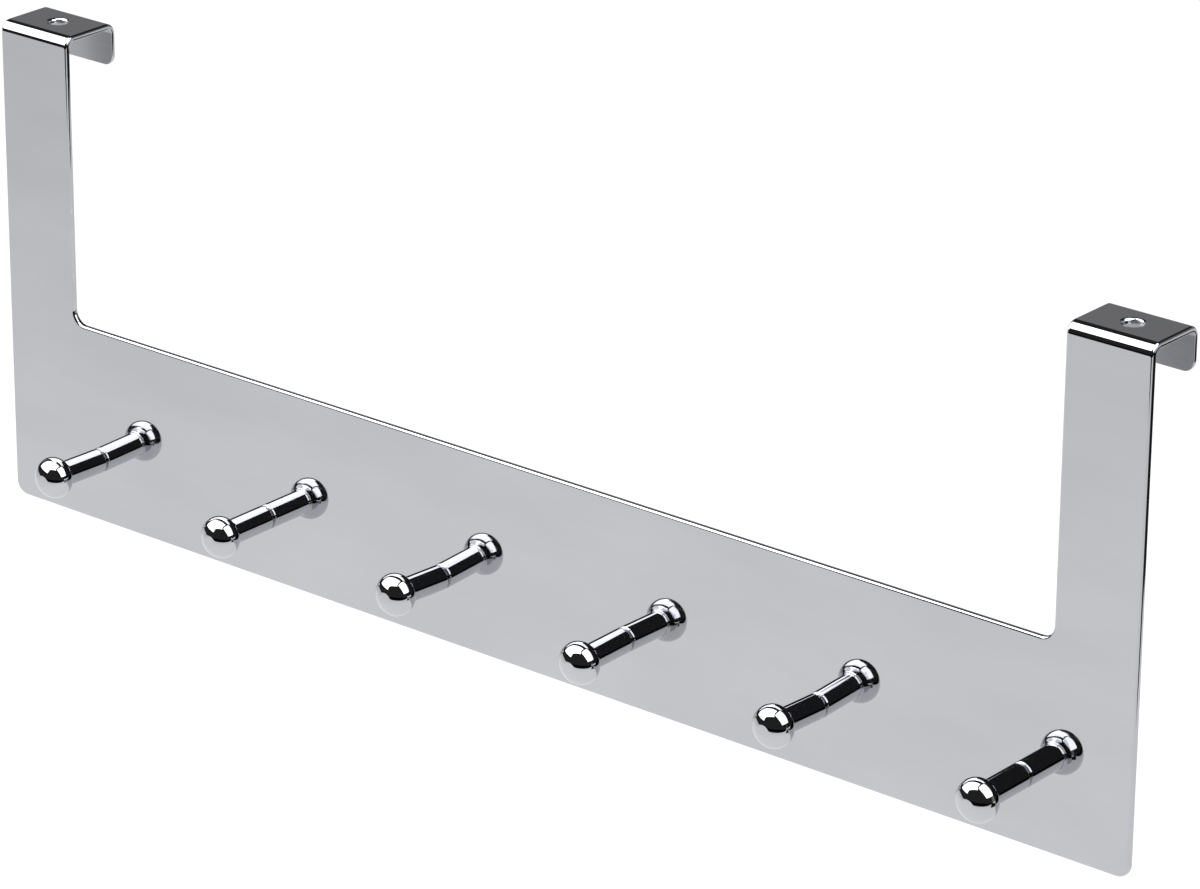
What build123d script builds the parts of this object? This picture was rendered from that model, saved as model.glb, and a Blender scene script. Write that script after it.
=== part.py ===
from build123d import *
from math import acos, atan2, degrees, radians, tan
import os

# Over door hook rail: a folded sheet that hangs on a door's top edge, with a row of knobbed pegs.
# Millimetres. X runs along the rail, Y points into the door and Z is up.
# The origin lies midway between the two fixing holes, on the faces that sit on the door's top edge.

# Sheet
rail_width = 490.0
rail_height = 180.0
band_height = 73.5
arm_width = 32.0
sheet = 2.0
fold_inside = 2.0
door_gap = 21.0
flange_drop = 14.0
fixing_hole = 7.0

# Corners and edges of the sheet
band_corner = 5.0
window_corner = 5.0
flange_corner = 4.0
edge_break = 0.5

# Pegs
end_to_peg = 42.5
peg_rise = 23.5
knob_reach = 22.9
shaft_diameter = 9.0
knob_diameter = 15.0
knob_rim_round = 4.9
knob_front_crown = 1.05
knob_back_crown = 1.0
tip_flat = 4.2
foot_chamfer = 1.2

# Upward lean of each welded peg in degrees, from left to right
peg_leans = (1.5, 0.0, 3.0, -1.0, 2.5, 0.0)

# Places and sizes that follow
fold_outside = fold_inside + sheet
front_face = -(door_gap / 2 + sheet)
rear_face = front_face + sheet
flange_outside = door_gap / 2 + sheet
hook_top = sheet
bottom_edge = hook_top - rail_height
band_top = bottom_edge + band_height
arm_inside = rail_width / 2 - arm_width
hole_place = rail_width / 2 - arm_width / 2
peg_axis = bottom_edge + peg_rise
peg_count = len(peg_leans)
peg_pitch = (rail_width - 2 * end_to_peg) / (peg_count - 1)
shaft_radius = shaft_diameter / 2
knob_radius = knob_diameter / 2
knob_front = knob_rim_round + knob_front_crown
knob_back = knob_rim_round + knob_back_crown
across_limit = 1.1 * sheet


def is_cut_face(face):
    """True for a face across the sheet's thickness: a side, an end, a rounded corner or a hole's wall."""
    if face.geom_type == GeomType.CYLINDER:
        return abs(face.axis_of_rotation.direction.X) < 0.5
    normal = face.normal_at()
    narrow = face.bounding_box().size.Y < across_limit
    return abs(normal.X) > 0.5 or (narrow and abs(normal.Z) > 0.5)


def runs_across(edge):
    """True for a straight edge that only crosses the sheet's thickness."""
    return edge.geom_type == GeomType.LINE and edge.length < across_limit


def folded_section():
    """Side view of the sheet: band and arm, fold, top of the hook, fold, flange."""
    corners = [
        (front_face, bottom_edge),
        (front_face, hook_top),
        (flange_outside, hook_top),
        (flange_outside, -flange_drop),
        (flange_outside - sheet, -flange_drop),
        (flange_outside - sheet, 0),
        (rear_face, 0),
        (rear_face, bottom_edge),
    ]
    face = make_face(Polyline(*corners, close=True))
    tops = face.vertices().filter_by(lambda v: v.Y > hook_top - sheet / 2)
    face = fillet(tops, fold_outside)
    level = face.vertices().filter_by(lambda v: abs(v.Y) < sheet / 2)
    insides = level.filter_by(lambda v: abs(v.X) < door_gap / 2 + sheet / 2)
    return fillet(insides, fold_inside)


def window():
    """Cutter for the open space between the arms, rounded where it meets the band."""
    height = hook_top - band_top + 2 * window_corner
    outline = Rectangle(2 * arm_inside, height, align=(Align.CENTER, Align.MIN))
    low = outline.vertices().group_by(Axis.Y)[0]
    outline = fillet(low, window_corner)
    return extrude(Plane.XZ * Pos(0, band_top) * outline, amount=2 * flange_outside, both=True)


def make_rail():
    """The folded sheet, cut to shape, drilled and with its cut edges broken."""
    rail = extrude(Plane.YZ * folded_section(), amount=rail_width / 2, both=True)
    rail -= window()
    across = rail.edges().filter_by(Axis.Y)
    band_ends = across.filter_by(lambda e: e.center().Z < bottom_edge + sheet)
    rail = fillet(band_ends, band_corner)
    across = rail.edges().filter_by(Axis.Y)
    behind = across.filter_by(lambda e: e.center().Y > door_gap / 2)
    flange_ends = behind.filter_by(lambda e: e.center().Z < -flange_drop + sheet)
    rail = fillet(flange_ends, flange_corner)
    for side in (-1, 1):
        rail -= Pos(side * hole_place, 0, sheet / 2) * Cylinder(fixing_hole / 2, 4 * sheet)
    rims = set()
    for face in rail.faces().filter_by(is_cut_face):
        rims.update(edge for edge in face.edges() if not runs_across(edge))
    return chamfer(rims, edge_break)


def dome_radius(rise):
    """Radius of the knob's dome that rises this far from the knob's middle and runs smoothly into its rim."""
    inset = knob_radius - knob_rim_round
    return (inset**2 + rise**2 - knob_rim_round**2) / (2 * (rise - knob_rim_round))


def knob_arcs():
    """Back dome, rim and front dome of the knob, from the shaft's side to the flat on its tip."""
    inset = knob_radius - knob_rim_round
    back_radius = dome_radius(knob_back)
    front_radius = dome_radius(knob_front)
    back_centre = knob_reach - knob_back + back_radius
    front_centre = knob_reach + knob_front - front_radius
    back_turn = degrees(atan2(back_centre - knob_reach, inset))
    front_turn = degrees(atan2(knob_reach - front_centre, inset))
    neck_turn = degrees(acos(shaft_radius / back_radius))
    tip_turn = degrees(acos(tip_flat / 2 / front_radius))
    back = CenterArc((0, back_centre), back_radius, -neck_turn, neck_turn - back_turn)
    rim = CenterArc((inset, knob_reach), knob_rim_round, -back_turn, back_turn + front_turn)
    front = CenterArc((0, front_centre), front_radius, front_turn, tip_turn - front_turn)
    return [back, rim, front]


def make_peg(lean):
    """A turned peg along +Z that leans towards +Y, with its foot cut flush to the plate at Z = 0."""
    root = shaft_radius * tan(radians(abs(lean))) + foot_chamfer
    knob = knob_arcs()
    tip = knob[2] @ 1
    side = Polyline(tip, (0, tip.Y), (0, -root), (shaft_radius, -root), knob[0] @ 0)
    turned = revolve(Plane.XZ * make_face([side] + knob), Axis.Z)
    peg = Rot(-lean, 0, 0) * turned
    peg -= Pos(0, 0, -2 * root) * Cylinder(2 * knob_radius, 4 * root)
    foot = peg.faces().sort_by(Axis.Z)[0]
    return chamfer(foot.edges(), foot_chamfer)


def on_plate(number):
    """Frame at a peg's foot on the band's front: its Z axis points away from the door and its Y axis up."""
    place = peg_pitch * (number - (peg_count - 1) / 2)
    return Plane(origin=(place, front_face, peg_axis), x_dir=(1, 0, 0), z_dir=(0, -1, 0))


os.makedirs("parts", exist_ok=True)
export_step(make_rail(), "parts/rail.step")
pegs = [on_plate(number) * make_peg(lean) for number, lean in enumerate(peg_leans)]
export_step(Compound(children=pegs), "parts/pegs.step")
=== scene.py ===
from math import acos, atan2, cos, hypot, pi, radians, sin, tan

import bmesh
import bpy
from mathutils import Matrix, Quaternion, Vector


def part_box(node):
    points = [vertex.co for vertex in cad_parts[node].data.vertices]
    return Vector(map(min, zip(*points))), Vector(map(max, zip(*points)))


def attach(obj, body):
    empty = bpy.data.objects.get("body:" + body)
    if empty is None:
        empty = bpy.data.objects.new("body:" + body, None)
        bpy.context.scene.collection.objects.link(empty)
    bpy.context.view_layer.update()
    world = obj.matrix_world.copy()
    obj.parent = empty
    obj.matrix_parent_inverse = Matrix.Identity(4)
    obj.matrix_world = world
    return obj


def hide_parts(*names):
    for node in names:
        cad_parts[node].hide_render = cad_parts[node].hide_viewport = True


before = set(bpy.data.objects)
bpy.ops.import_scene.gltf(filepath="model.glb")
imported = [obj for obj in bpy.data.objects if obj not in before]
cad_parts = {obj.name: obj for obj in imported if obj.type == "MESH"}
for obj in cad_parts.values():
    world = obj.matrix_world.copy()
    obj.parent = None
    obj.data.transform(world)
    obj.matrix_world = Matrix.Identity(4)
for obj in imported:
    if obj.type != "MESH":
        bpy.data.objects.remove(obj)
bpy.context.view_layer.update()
rail_low, rail_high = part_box("rail")

bl_info = {
    "name": "Over Door Hook Rail",
    "version": (1, 0, 0),
    "blender": (4, 5, 0),
    "location": "3D View > Sidebar > Hook Rail",
    "description": "Builds a mirror polished hook rail that hangs over a door's top edge",
    "category": "Object",
}

# Fineness of the round stretches
FOLD_STEPS = 24
CORNER_STEPS = 12
HOLE_STEPS = 72
EDGE_STEPS = 8
LATHE_STEPS = 128
DOME_STEPS = 10
RIM_STEPS = 22
NECK_STEPS = 4
FOOT_STEPS = 6

# An edge of the sheet is a cut edge where its faces turn by more than this
CUT_EDGE_ANGLE = radians(60)

# Ring of faces round a fixing hole, in radii of the hole
HOLE_RING = 1.5

# Points count as the same place within these distances
NEAR = 1e-6
SAME = NEAR / 10

# Patches and polishing lines of the finishes, as cycles a metre along X, Y and Z
SHEET_CLOUDS = (14, 14, 40)
SHEET_LINES = (40, 40, 900)
PEG_CLOUDS = (60, 60, 60)
PEG_LINES = (300, 900, 300)
SATIN_LINES = (90, 2500, 2500)
POLISH_DETAIL = 4.0
SATIN_DETAIL = 3.0
NOISE_RANGE = (0.3, 0.7)

# Roughness from the best to the dullest lines, and how far the satin tone varies
POLISHED = (0.015, 0.05)
SATIN = (0.29, 0.33)
SATIN_TONES = (0.97, 1.03)

# Floor: half its width, the way to its front and where it turns from dark to lit in the metal
FLOOR_SIZE = 20
FORWARD = (0.342, -0.94, 0)
FRONT_END = (1.22, 1.18)
RIGHT_END = (0.735, 0.72)
REAR_END = (1.03, 1.06)
NEAR_END = (-0.1, -0.13)
LEFT_ARM_X = -0.213
ROUND_LEFT_ARM = (1.2, 1.17)
DARK_FLOOR = (0.03, 0.03, 0.03)

# Room: directions in which its wall begins, and the brightness of the room and of the wall
WALL_TOP = (0.5, 0.42)
WALL_SIDE = (0.1, 0.3)
ROOM_AND_WALL = (0.025, 0.22)

# Softboxes: name, centre, the way each faces, width and height, turn about that way
KEY_FACING = (0.4, 0.74, -0.54)
SOFTBOXES = (
    ("key_softbox", (-0.885, -0.364, 0.527), KEY_FACING, (1.2, 0.8), 0.0),
    ("key_softbox_end", (-0.248, -0.571, 0.717), KEY_FACING, (0.92, 0.5), radians(37)),
    ("overhead_softbox", (-0.51, -0.26, 0.86), (0, 0, -1), (1.28, 0.72), 0.0),
    ("right_softbox", (0.65, -0.05, 0.52), (-0.573, 0, -0.82), (0.95, 1.0), 0.0),
)

# Camera: its place, its angles and the width of its sensor in millimetres
CAMERA_PLACE = (1.109874, -1.331892, 0.607703)
CAMERA_AZIMUTH = radians(39.304)
CAMERA_ELEVATION = radians(22.165)
CAMERA_ROLL = radians(0.418)
SENSOR_WIDTH = 36.0


class RailSettings(bpy.types.PropertyGroup):
    """Sizes and finish of the folded sheet."""

    width: bpy.props.FloatProperty(
        name="Width", description="Length of the rail along the door",
        default=rail_high.x - rail_low.x, min=0.2, unit="LENGTH")
    height: bpy.props.FloatProperty(
        name="Height", description="From the bottom edge to the top of the hooks",
        default=rail_high.z - rail_low.z, min=0.1, unit="LENGTH")
    band_height: bpy.props.FloatProperty(
        name="Band height", description="Height of the band that carries the pegs",
        default=0.0735, min=0.03, unit="LENGTH")
    arm_width: bpy.props.FloatProperty(
        name="Arm width", description="Width of the upright arms and of the door hooks",
        default=0.032, min=0.01, unit="LENGTH")
    sheet: bpy.props.FloatProperty(
        name="Sheet", description="Thickness of the sheet",
        default=0.002, min=0.0005, unit="LENGTH")
    fold_inside: bpy.props.FloatProperty(
        name="Fold radius", description="Inside radius of the folds",
        default=0.002, min=0.0005, unit="LENGTH")
    depth: bpy.props.FloatProperty(
        name="Hook depth", description="Outside depth of the door hooks",
        default=rail_high.y - rail_low.y, min=0.01, unit="LENGTH")
    flange_drop: bpy.props.FloatProperty(
        name="Flange drop", description="How far the hooks reach down behind the door's edge",
        default=0.014, min=0.006, unit="LENGTH")
    fixing_hole: bpy.props.FloatProperty(
        name="Fixing hole", description="Diameter of the hole through the top of each hook",
        default=0.007, min=0.001, unit="LENGTH")
    band_corner: bpy.props.FloatProperty(
        name="Band corner", description="Radius of the band's lower corners",
        default=0.005, min=0.0005, unit="LENGTH")
    window_corner: bpy.props.FloatProperty(
        name="Inner corner", description="Radius where the arms meet the band",
        default=0.005, min=0.0005, unit="LENGTH")
    flange_corner: bpy.props.FloatProperty(
        name="Flange corner", description="Radius of the flanges' lower corners",
        default=0.004, min=0.0005, unit="LENGTH")
    edge_round: bpy.props.FloatProperty(
        name="Edge rounding", description="Rounding of the cut edges on the outer side",
        default=0.001, min=0.0001, unit="LENGTH")
    edge_break: bpy.props.FloatProperty(
        name="Edge break", description="Small rounding of the cut edges on the inner side",
        default=0.0003, min=0.0001, unit="LENGTH")
    bright: bpy.props.FloatVectorProperty(
        name="Bright chrome", description="Colour of the best polished patches",
        default=(0.566, 0.57, 0.596), size=3, min=0, max=1, subtype="COLOR")
    dull: bpy.props.FloatVectorProperty(
        name="Dull chrome", description="Colour of the slightly hazier patches",
        default=(0.53, 0.534, 0.558), size=3, min=0, max=1, subtype="COLOR")
    inside: bpy.props.FloatVectorProperty(
        name="Inner side", description="Colour of the satin side towards the door",
        default=(0.5, 0.503, 0.525), size=3, min=0, max=1, subtype="COLOR")


class PegSettings(bpy.types.PropertyGroup):
    """Sizes and finish of the turned pegs."""

    end_to_peg: bpy.props.FloatProperty(
        name="First peg", description="From the rail's end to the first peg",
        default=0.0425, min=0.01, unit="LENGTH")
    rise: bpy.props.FloatProperty(
        name="Peg rise", description="From the rail's bottom edge to the pegs' middle",
        default=0.0235, min=0.01, unit="LENGTH")
    reach: bpy.props.FloatProperty(
        name="Knob reach", description="From the band's front to the knob's middle",
        default=0.0229, min=0.01, unit="LENGTH")
    shaft: bpy.props.FloatProperty(
        name="Shaft", description="Diameter of the shaft",
        default=0.009, min=0.002, unit="LENGTH")
    knob: bpy.props.FloatProperty(
        name="Knob", description="Diameter of the knob",
        default=0.015, min=0.004, unit="LENGTH")
    rim_round: bpy.props.FloatProperty(
        name="Rim radius", description="Radius of the knob's rim",
        default=0.0049, min=0.0005, unit="LENGTH")
    front_crown: bpy.props.FloatProperty(
        name="Front crown", description="How far the knob's front dome rises above its rim",
        default=0.00105, min=0.0002, unit="LENGTH")
    back_crown: bpy.props.FloatProperty(
        name="Back crown", description="How far the knob's back dome rises above its rim",
        default=0.001, min=0.0002, unit="LENGTH")
    tip_flat: bpy.props.FloatProperty(
        name="Tip flat", description="Diameter of the flat on the knob's tip",
        default=0.0042, min=0.0005, unit="LENGTH")
    tip_round: bpy.props.FloatProperty(
        name="Tip round", description="Soft edge round the flat on the knob's tip",
        default=0.0003, min=0.0001, unit="LENGTH")
    neck_round: bpy.props.FloatProperty(
        name="Neck round", description="Small round where the knob meets the shaft",
        default=0.0005, min=0.0001, unit="LENGTH")
    foot_round: bpy.props.FloatProperty(
        name="Foot round", description="Rounded edge of the foot on the band",
        default=0.0012, min=0.0001, unit="LENGTH")
    leans: bpy.props.FloatVectorProperty(
        name="Leans", description="Upward lean of each welded peg, from left to right",
        default=[radians(lean) for lean in (1.5, 0.0, 3.0, -1.0, 2.5, 0.0)],
        size=6, unit="ROTATION")
    bright: bpy.props.FloatVectorProperty(
        name="Bright chrome", description="Colour of the best polished patches",
        default=(0.566, 0.57, 0.594), size=3, min=0, max=1, subtype="COLOR")
    dull: bpy.props.FloatVectorProperty(
        name="Dull chrome", description="Colour of the slightly hazier patches",
        default=(0.54, 0.544, 0.568), size=3, min=0, max=1, subtype="COLOR")


class StageSettings(bpy.types.PropertyGroup):
    """Floor, studio light and camera."""

    floor_drop: bpy.props.FloatProperty(
        name="Floor drop", description="From the rail's bottom edge down to the floor",
        default=0.28, min=0.0, unit="LENGTH")
    floor_colour: bpy.props.FloatVectorProperty(
        name="Floor", description="Colour of the floor",
        default=(0.2, 0.2, 0.2), size=3, min=0, max=1, subtype="COLOR")
    backdrop: bpy.props.FloatProperty(
        name="Backdrop", description="Glow of the floor behind the rail, where 1 is white",
        default=0.97, min=0)
    floor_glow: bpy.props.FloatProperty(
        name="Floor glow", description="Glow of the floor in the metal, where 1 is white",
        default=0.76, min=0)
    softbox: bpy.props.FloatProperty(
        name="Softbox", description="Brightness of the softboxes' fronts, where 1 is white",
        default=3.0, min=0.1)
    lens: bpy.props.FloatProperty(
        name="Lens", description="Focal length of the camera",
        default=167.42, min=10, unit="CAMERA")


def rail_places(rail):
    """Places that follow from the sheet's sizes, in metres."""
    bottom = rail.sheet - rail.height
    bend = rail.fold_inside + rail.sheet
    return {
        "half": rail.width / 2,
        "inside": rail.width / 2 - rail.arm_width,
        "front": -rail.depth / 2,
        "bottom": bottom,
        "band_top": bottom + rail.band_height,
        "bend": bend,
        "fold": rail.sheet - bend,
    }


def round_corners(bm, verts, radius):
    """Rounds corner points of flat faces."""
    bmesh.ops.bevel(
        bm, geom=verts, offset=radius, offset_type="ABSOLUTE", segments=CORNER_STEPS,
        profile=0.5, affect="VERTICES", material=-1)


def round_edges(bm, edges, size, steps):
    """Rounds edges between faces."""
    bmesh.ops.bevel(
        bm, geom=edges, offset=size, offset_type="OFFSET", segments=steps,
        profile=0.5, affect="EDGES", material=-1)


def edges_of(items):
    """The edges among what an operator gave."""
    return [item for item in items if isinstance(item, bmesh.types.BMEdge)]


def verts_of(items):
    """The points among what an operator gave."""
    return [item for item in items if isinstance(item, bmesh.types.BMVert)]


def fold_over(bm, edge, centre):
    """Folds the sheet on from an edge, a quarter turn backwards, and gives the new edge."""
    swept = bmesh.ops.spin(
        bm, geom=[edge, *edge.verts], cent=centre, axis=(1, 0, 0), dvec=(0, 0, 0),
        angle=-pi / 2, steps=FOLD_STEPS, use_merge=False, use_duplicate=False)
    return edges_of(swept["geom_last"])[0]


def run_on(bm, edge, way):
    """Runs the sheet straight on from an edge and gives the new edge."""
    grown = bmesh.ops.extrude_edge_only(bm, edges=[edge])
    bmesh.ops.translate(bm, verts=verts_of(grown["geom"]), vec=way)
    ends = set(verts_of(grown["geom"]))
    return next(e for e in edges_of(grown["geom"]) if ends.issuperset(e.verts))


def drill(bm, near_edge, far_edge, radius):
    """Opens a round hole in the middle of the flat face between two edges."""
    face = (set(near_edge.link_faces) & set(far_edge.link_faces)).pop()
    centre = face.calc_center_median()
    sides = list(face.edges)
    bmesh.ops.delete(bm, geom=[face], context="FACES_ONLY")
    disc = bmesh.ops.create_circle(
        bm, cap_ends=True, segments=HOLE_STEPS, radius=HOLE_RING * radius,
        matrix=Matrix.Translation(centre))
    cap = disc["verts"][0].link_faces[0]
    ring = bmesh.ops.inset_individual(
        bm, faces=[cap], thickness=(HOLE_RING - 1) * radius, use_even_offset=True)
    bmesh.ops.delete(bm, geom=[cap], context="FACES_ONLY")
    rims = {edge for face in ring["faces"] for edge in face.edges if edge.is_boundary}
    middle = (1 + HOLE_RING) / 2 * radius
    outer = [edge for edge in rims if (edge.verts[0].co - centre).length > middle]
    bmesh.ops.triangle_fill(bm, edges=sides + outer, use_beauty=True, use_dissolve=False)


def folded_sheet(rail):
    """The sheet's outer side, cut, folded and drilled, then thickened inwards and rounded."""
    at = rail_places(rail)
    bm = bmesh.new()
    outline = [
        (-at["half"], at["bottom"]), (at["half"], at["bottom"]),
        (at["half"], at["fold"]), (at["inside"], at["fold"]),
        (at["inside"], at["band_top"]), (-at["inside"], at["band_top"]),
        (-at["inside"], at["fold"]), (-at["half"], at["fold"]),
    ]
    points = [bm.verts.new((x, at["front"], z)) for x, z in outline]
    bm.faces.new(points)
    round_corners(bm, points[0:2], rail.band_corner)
    tops = [e for e in bm.edges if all(abs(v.co.z - at["fold"]) < NEAR for v in e.verts)]
    window = [v for v in bm.verts if abs(v.co.z - at["band_top"]) < NEAR]
    round_corners(bm, window, rail.window_corner)
    for top in tops:
        edge = fold_over(bm, top, (0, at["front"] + at["bend"], at["fold"]))
        far = run_on(bm, edge, (0, rail.depth - 2 * at["bend"], 0))
        drill(bm, edge, far, rail.fixing_hole / 2)
        edge = fold_over(bm, far, (0, -at["front"] - at["bend"], at["fold"]))
        end = run_on(bm, edge, (0, 0, -rail.flange_drop - at["fold"]))
        round_corners(bm, list(end.verts), rail.flange_corner)
    bmesh.ops.recalc_face_normals(bm, faces=bm.faces[:])
    plate = max(bm.faces, key=lambda f: f.calc_area())
    if plate.normal.y > 0:
        bmesh.ops.reverse_faces(bm, faces=bm.faces[:])
    outer = set(bm.verts)
    bmesh.ops.solidify(bm, geom=bm.faces[:], thickness=rail.sheet)
    bm.normal_update()
    for face in bm.faces:
        if outer.isdisjoint(face.verts):
            face.material_index = 1
    cut_edges = [e for e in bm.edges if e.is_manifold and e.calc_face_angle() > CUT_EDGE_ANGLE]
    outer_edges = [e for e in cut_edges if outer.issuperset(e.verts)]
    inner_edges = [e for e in cut_edges if outer.isdisjoint(e.verts)]
    round_edges(bm, outer_edges, rail.edge_round, EDGE_STEPS)
    round_edges(bm, inner_edges, rail.edge_break, EDGE_STEPS)
    return bm


def sweep(bm, vert, centre, angle, steps):
    """Draws an arc of a peg's profile from its last point and gives the point at its end."""
    drawn = bmesh.ops.spin(
        bm, geom=[vert], cent=centre, axis=(0, 1, 0), dvec=(0, 0, 0),
        angle=angle, steps=steps, use_merge=False, use_duplicate=False)
    return verts_of(drawn["geom_last"])[0]


def dome_radius(inset, rise, rim):
    """Radius of a knob's dome that runs smoothly into its rim."""
    return (inset**2 + rise**2 - rim**2) / (2 * (rise - rim))


def ring_edges(bm, radius, height):
    """Edges of the turned ring that has this radius and height."""

    def on_ring(vert):
        level = abs(vert.co.z - height) < NEAR
        return level and abs(hypot(vert.co.x, vert.co.y) - radius) < NEAR

    return [e for e in bm.edges if all(on_ring(v) for v in e.verts)]


def turned_peg(pegs, lean):
    """A peg along +Z, turned from its profile, leaning towards +Y and cut off flush at Z = 0."""
    shaft = pegs.shaft / 2
    tip = pegs.tip_flat / 2
    rim = pegs.rim_round
    inset = pegs.knob / 2 - rim
    front_rise = rim + pegs.front_crown
    back_rise = rim + pegs.back_crown
    front = dome_radius(inset, front_rise, rim)
    back = dome_radius(inset, back_rise, rim)
    front_centre = pegs.reach + front_rise - front
    back_centre = pegs.reach - back_rise + back
    front_turn = atan2(pegs.reach - front_centre, inset)
    back_turn = atan2(back_centre - pegs.reach, inset)
    tip_turn = acos(tip / front)
    neck_turn = acos(shaft / back)
    tip_height = front_centre + front * sin(tip_turn)
    neck_height = back_centre - back * sin(neck_turn)
    root = shaft * tan(abs(lean)) + pegs.foot_round

    bm = bmesh.new()
    point = bm.verts.new((tip, 0, tip_height))
    bm.edges.new((bm.verts.new((0, 0, tip_height)), point))
    point = sweep(bm, point, (0, 0, front_centre), tip_turn - front_turn, DOME_STEPS)
    point = sweep(bm, point, (inset, 0, pegs.reach), front_turn + back_turn, RIM_STEPS)
    neck = sweep(bm, point, (0, 0, back_centre), neck_turn - back_turn, NECK_STEPS)
    bm.edges.new((neck, bm.verts.new((shaft, 0, -root))))
    bmesh.ops.spin(
        bm, geom=bm.verts[:] + bm.edges[:], cent=(0, 0, 0), axis=(0, 0, 1), dvec=(0, 0, 0),
        angle=2 * pi, steps=LATHE_STEPS, use_merge=True, use_duplicate=False)
    bmesh.ops.remove_doubles(bm, verts=bm.verts[:], dist=SAME)
    bmesh.ops.recalc_face_normals(bm, faces=bm.faces[:])
    round_edges(bm, ring_edges(bm, shaft, neck_height), pegs.neck_round, NECK_STEPS)
    round_edges(bm, ring_edges(bm, tip, tip_height), pegs.tip_round, NECK_STEPS)
    bmesh.ops.rotate(bm, verts=bm.verts[:], cent=(0, 0, 0), matrix=Matrix.Rotation(-lean, 3, "X"))
    bmesh.ops.bisect_plane(
        bm, geom=bm.verts[:] + bm.edges[:] + bm.faces[:], dist=SAME,
        plane_co=(0, 0, 0), plane_no=(0, 0, 1), clear_inner=True)
    foot = [e for e in bm.edges if e.is_boundary]
    bmesh.ops.edgeloop_fill(bm, edges=foot)
    bmesh.ops.recalc_face_normals(bm, faces=bm.faces[:])
    round_edges(bm, foot, pegs.foot_round, FOOT_STEPS)
    return bm


def peg_row(rail, pegs):
    """All the pegs in their places on the band."""
    at = rail_places(rail)
    count = len(pegs.leans)
    pitch = (rail.width - 2 * pegs.end_to_peg) / (count - 1)
    height = at["bottom"] + pegs.rise
    row = bmesh.new()
    for number, lean in enumerate(pegs.leans):
        place = Vector((pitch * (number - (count - 1) / 2), at["front"], height))
        peg = turned_peg(pegs, lean)
        peg.transform(Matrix.Translation(place) @ Matrix.Rotation(pi / 2, 4, "X"))
        held = bpy.data.meshes.new("peg")
        peg.to_mesh(held)
        peg.free()
        row.from_mesh(held)
        bpy.data.meshes.remove(held)
    return row


def link(owner, source, target):
    """Joins two nodes of a material or of the room."""
    owner.node_tree.links.new(source, target)


def ramp(owner, value, start, end, low=0.0, high=1.0):
    """Gives a value that goes from low to high between two places."""
    node = owner.node_tree.nodes.new("ShaderNodeMapRange")
    node.inputs["From Min"].default_value = start
    node.inputs["From Max"].default_value = end
    node.inputs["To Min"].default_value = low
    node.inputs["To Max"].default_value = high
    link(owner, value, node.inputs["Value"])
    return node.outputs["Result"]


def combine(owner, operation, first, second):
    """Gives the product, the larger or the like of two values."""
    node = owner.node_tree.nodes.new("ShaderNodeMath")
    node.operation = operation
    link(owner, first, node.inputs[0])
    link(owner, second, node.inputs[1])
    return node.outputs["Value"]


def measure(owner, place, operation, other):
    """Gives a place's distance from another, or how far it lies along a direction."""
    node = owner.node_tree.nodes.new("ShaderNodeVectorMath")
    node.operation = operation
    node.inputs[1].default_value = other
    link(owner, place, node.inputs[0])
    return node.outputs["Value"]


def patchy(owner, cycles, detail):
    """Gives a value that varies in patches, with so many cycles a metre along each axis."""
    nodes = owner.node_tree.nodes
    place = nodes.new("ShaderNodeTexCoord")
    drawn = nodes.new("ShaderNodeMapping")
    drawn.inputs["Scale"].default_value = cycles
    link(owner, place.outputs["Object"], drawn.inputs["Vector"])
    noise = nodes.new("ShaderNodeTexNoise")
    noise.inputs["Scale"].default_value = 1.0
    noise.inputs["Detail"].default_value = detail
    link(owner, drawn.outputs["Vector"], noise.inputs["Vector"])
    return noise.outputs["Fac"]


def metal_finish(name, tones, clouds, lines, detail, gloss):
    """Metal whose tone varies in faint patches, and whose gloss varies along fine lines."""
    material = bpy.data.materials.new(name)
    material.use_nodes = True
    shader = material.node_tree.nodes["Principled BSDF"]
    shader.inputs["Metallic"].default_value = 1.0
    tone = material.node_tree.nodes.new("ShaderNodeMix")
    tone.data_type = "RGBA"
    tone.inputs["A"].default_value = (*tones[0], 1)
    tone.inputs["B"].default_value = (*tones[1], 1)
    cloudy = ramp(material, patchy(material, clouds, detail), *NOISE_RANGE)
    link(material, cloudy, tone.inputs["Factor"])
    link(material, tone.outputs["Result"], shader.inputs["Base Color"])
    roughness = ramp(material, patchy(material, lines, detail), *NOISE_RANGE, *gloss)
    link(material, roughness, shader.inputs["Roughness"])
    return material


def add_piece(name, bm, materials, node):
    """Makes a finished piece of a mesh and puts it in the place of its CAD node."""
    mesh = bpy.data.meshes.new(name)
    bm.to_mesh(mesh)
    bm.free()
    mesh.shade_smooth()
    for material in materials:
        mesh.materials.append(material)
    piece = bpy.data.objects.new(name, mesh)
    bpy.context.scene.collection.objects.link(piece)
    piece.modifiers.new("Flat faces stay flat", "WEIGHTED_NORMAL")
    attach(piece, "root")
    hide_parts(node)


class HOOKRAIL_OT_sheet(bpy.types.Operator):
    """Build the folded sheet with its band, arms and door hooks"""

    bl_idname = "hookrail.sheet"
    bl_label = "Folded Sheet"

    def execute(self, context):
        rail = context.scene.hookrail_sheet
        chrome = metal_finish(
            "polished_sheet_chrome", (rail.dull, rail.bright), SHEET_CLOUDS, SHEET_LINES,
            POLISH_DETAIL, POLISHED)
        tones = [[share * part for part in rail.inside] for share in SATIN_TONES]
        satin = metal_finish(
            "satin_inner_side", tones, SATIN_LINES, SATIN_LINES, SATIN_DETAIL, SATIN)
        add_piece("folded_sheet", folded_sheet(rail), [chrome, satin], "rail")
        return {"FINISHED"}


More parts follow.
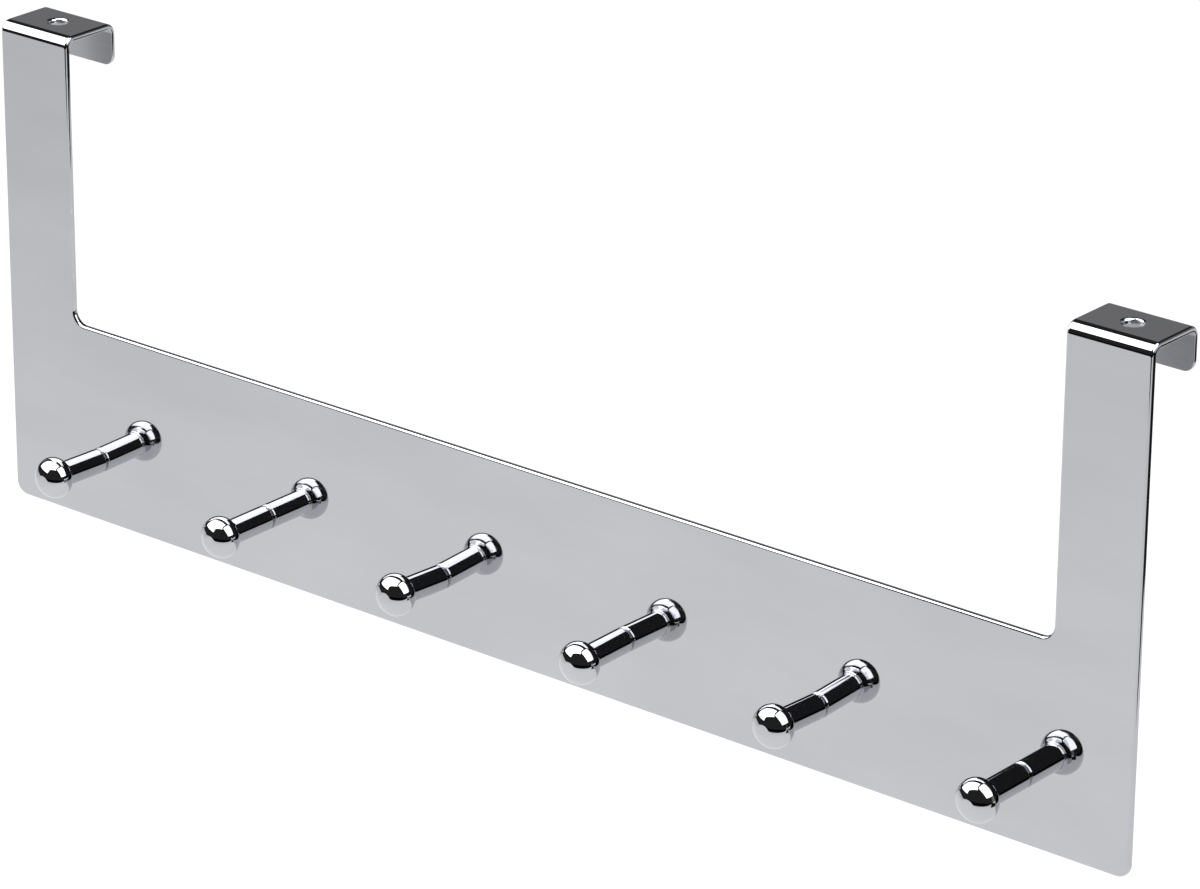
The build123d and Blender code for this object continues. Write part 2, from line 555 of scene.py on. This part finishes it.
class HOOKRAIL_OT_pegs(bpy.types.Operator):
    """Build the row of turned pegs"""

    bl_idname = "hookrail.pegs"
    bl_label = "Turned Pegs"

    def execute(self, context):
        pegs = context.scene.hookrail_pegs
        chrome = metal_finish(
            "polished_peg_chrome", (pegs.dull, pegs.bright), PEG_CLOUDS, PEG_LINES,
            POLISH_DETAIL, POLISHED)
        row = peg_row(context.scene.hookrail_sheet, pegs)
        add_piece("turned_pegs", row, [chrome], "pegs")
        return {"FINISHED"}


def lit_part(material, level):
    """Gives 1 on the lit part of the floor, and 0 far in front and past its end on the right."""
    nodes = material.node_tree.nodes
    place = nodes.new("ShaderNodeTexCoord").outputs["Object"]
    axes = nodes.new("ShaderNodeSeparateXYZ")
    link(material, place, axes.inputs["Vector"])
    forward = measure(material, place, "DOT_PRODUCT", FORWARD)
    from_left_arm = measure(material, place, "DISTANCE", (LEFT_ARM_X, 0, level))
    other_ends = (
        (axes.outputs["Y"], REAR_END),
        (axes.outputs["Y"], NEAR_END),
        (from_left_arm, ROUND_LEFT_ARM),
    )
    clear = ramp(material, axes.outputs["X"], *RIGHT_END)
    for value, end in other_ends:
        clear = combine(material, "MAXIMUM", clear, ramp(material, value, *end))
    return combine(material, "MULTIPLY", ramp(material, forward, *FRONT_END), clear)


def floor_material(level, colour, backdrop, glow_in_metal):
    """Pale floor, white to the camera and in the metal, and dark in the metal past its lit part."""
    material = bpy.data.materials.new("pale_floor")
    material.use_nodes = True
    nodes = material.node_tree.nodes
    nodes.clear()
    output = nodes.new("ShaderNodeOutputMaterial")
    rays = nodes.new("ShaderNodeLightPath").outputs
    mirrored = combine(material, "MAXIMUM", rays["Is Glossy Ray"], rays["Is Transmission Ray"])
    seen = combine(material, "MAXIMUM", rays["Is Camera Ray"], mirrored)
    strength = ramp(material, rays["Is Glossy Ray"], 0.0, 1.0, backdrop, glow_in_metal)
    glow = nodes.new("ShaderNodeEmission")
    link(material, combine(material, "MULTIPLY", seen, strength), glow.inputs["Strength"])
    matt = nodes.new("ShaderNodeBsdfDiffuse")
    matt.inputs["Color"].default_value = (*colour, 1)
    pale = nodes.new("ShaderNodeAddShader")
    link(material, matt.outputs["BSDF"], pale.inputs[0])
    link(material, glow.outputs["Emission"], pale.inputs[1])
    dark = nodes.new("ShaderNodeBsdfDiffuse")
    dark.inputs["Color"].default_value = (*DARK_FLOOR, 1)
    mix = nodes.new("ShaderNodeMixShader")
    shown = combine(material, "MAXIMUM", lit_part(material, level), rays["Is Camera Ray"])
    link(material, shown, mix.inputs["Fac"])
    link(material, dark.outputs["BSDF"], mix.inputs[1])
    link(material, pale.outputs["Shader"], mix.inputs[2])
    link(material, mix.outputs["Shader"], output.inputs["Surface"])
    return material


def studio_room():
    """Dark room around the stage, with a grey wall low behind the rail."""
    world = bpy.data.worlds.new("studio_room")
    world.use_nodes = True
    nodes = world.node_tree.nodes
    place = nodes.new("ShaderNodeTexCoord")
    axes = nodes.new("ShaderNodeSeparateXYZ")
    link(world, place.outputs["Generated"], axes.inputs["Vector"])
    low = ramp(world, axes.outputs["Z"], *WALL_TOP)
    behind = ramp(world, axes.outputs["Y"], *WALL_SIDE)
    wall = combine(world, "MULTIPLY", low, behind)
    background = nodes["Background"]
    background.inputs["Color"].default_value = (1, 1, 1, 1)
    link(world, ramp(world, wall, 0.0, 1.0, *ROOM_AND_WALL), background.inputs["Strength"])
    bpy.context.scene.world = world


def softbox(name, centre, facing, size, roll, radiance):
    """Adds a rectangular softbox that faces a direction."""
    width, height = size
    light = bpy.data.lights.new(name, "AREA")
    light.shape = "RECTANGLE"
    light.size = width
    light.size_y = height
    light.energy = radiance * pi * width * height
    lamp = bpy.data.objects.new(name, light)
    lamp.location = centre
    turn = Vector(facing).to_track_quat("-Z", "Y") @ Quaternion((0, 0, 1), roll)
    lamp.rotation_euler = turn.to_euler()
    bpy.context.scene.collection.objects.link(lamp)


def place_camera(lens):
    """Camera at the photograph's viewing angle."""
    level = cos(CAMERA_ELEVATION)
    back = Vector((
        sin(CAMERA_AZIMUTH) * level, -cos(CAMERA_AZIMUTH) * level, sin(CAMERA_ELEVATION)))
    right = Vector((cos(CAMERA_AZIMUTH), sin(CAMERA_AZIMUTH), 0))
    up = back.cross(right)
    turned_right = cos(CAMERA_ROLL) * right + sin(CAMERA_ROLL) * up
    turned_up = cos(CAMERA_ROLL) * up - sin(CAMERA_ROLL) * right
    data = bpy.data.cameras.new("photo_camera")
    data.lens = lens
    data.sensor_width = SENSOR_WIDTH
    camera = bpy.data.objects.new("photo_camera", data)
    turn = Matrix((turned_right, turned_up, back)).transposed()
    camera.matrix_world = Matrix.Translation(CAMERA_PLACE) @ turn.to_4x4()
    bpy.context.scene.collection.objects.link(camera)
    bpy.context.scene.camera = camera


class HOOKRAIL_OT_stage(bpy.types.Operator):
    """Set up the floor, the studio light and the camera"""

    bl_idname = "hookrail.stage"
    bl_label = "Stage"

    def execute(self, context):
        stage = context.scene.hookrail_stage
        level = rail_low.z - stage.floor_drop
        bm = bmesh.new()
        bmesh.ops.create_grid(bm, x_segments=1, y_segments=1, size=FLOOR_SIZE)
        bmesh.ops.translate(bm, verts=bm.verts[:], vec=(0, 0, level))
        mesh = bpy.data.meshes.new("floor")
        bm.to_mesh(mesh)
        bm.free()
        pale = floor_material(level, stage.floor_colour, stage.backdrop, stage.floor_glow)
        mesh.materials.append(pale)
        floor = bpy.data.objects.new("floor", mesh)
        context.scene.collection.objects.link(floor)
        studio_room()
        for lamp in SOFTBOXES:
            softbox(*lamp, stage.softbox)
        place_camera(stage.lens)
        context.scene.view_settings.view_transform = "Standard"
        return {"FINISHED"}


class HOOKRAIL_PT_panel(bpy.types.Panel):
    """Hook rail tools in the sidebar"""

    bl_idname = "HOOKRAIL_PT_panel"
    bl_label = "Over Door Hook Rail"
    bl_space_type = "VIEW_3D"
    bl_region_type = "UI"
    bl_category = "Hook Rail"

    def draw(self, context):
        layout = self.layout
        scene = context.scene
        for operator in OPERATORS:
            layout.operator(operator.bl_idname)
        for settings in (scene.hookrail_sheet, scene.hookrail_pegs, scene.hookrail_stage):
            box = layout.box()
            for name in settings.__annotations__:
                box.prop(settings, name)


OPERATORS = (HOOKRAIL_OT_sheet, HOOKRAIL_OT_pegs, HOOKRAIL_OT_stage)
CLASSES = (RailSettings, PegSettings, StageSettings, *OPERATORS, HOOKRAIL_PT_panel)


def register():
    for item in CLASSES:
        bpy.utils.register_class(item)
    bpy.types.Scene.hookrail_sheet = bpy.props.PointerProperty(type=RailSettings)
    bpy.types.Scene.hookrail_pegs = bpy.props.PointerProperty(type=PegSettings)
    bpy.types.Scene.hookrail_stage = bpy.props.PointerProperty(type=StageSettings)


def unregister():
    del bpy.types.Scene.hookrail_stage
    del bpy.types.Scene.hookrail_pegs
    del bpy.types.Scene.hookrail_sheet
    for item in reversed(CLASSES):
        bpy.utils.unregister_class(item)


def main():
    """Builds the rail and its stage."""
    register()
    bpy.ops.hookrail.sheet()
    bpy.ops.hookrail.pegs()
    bpy.ops.hookrail.stage()


if __name__ == "__main__":
    main()
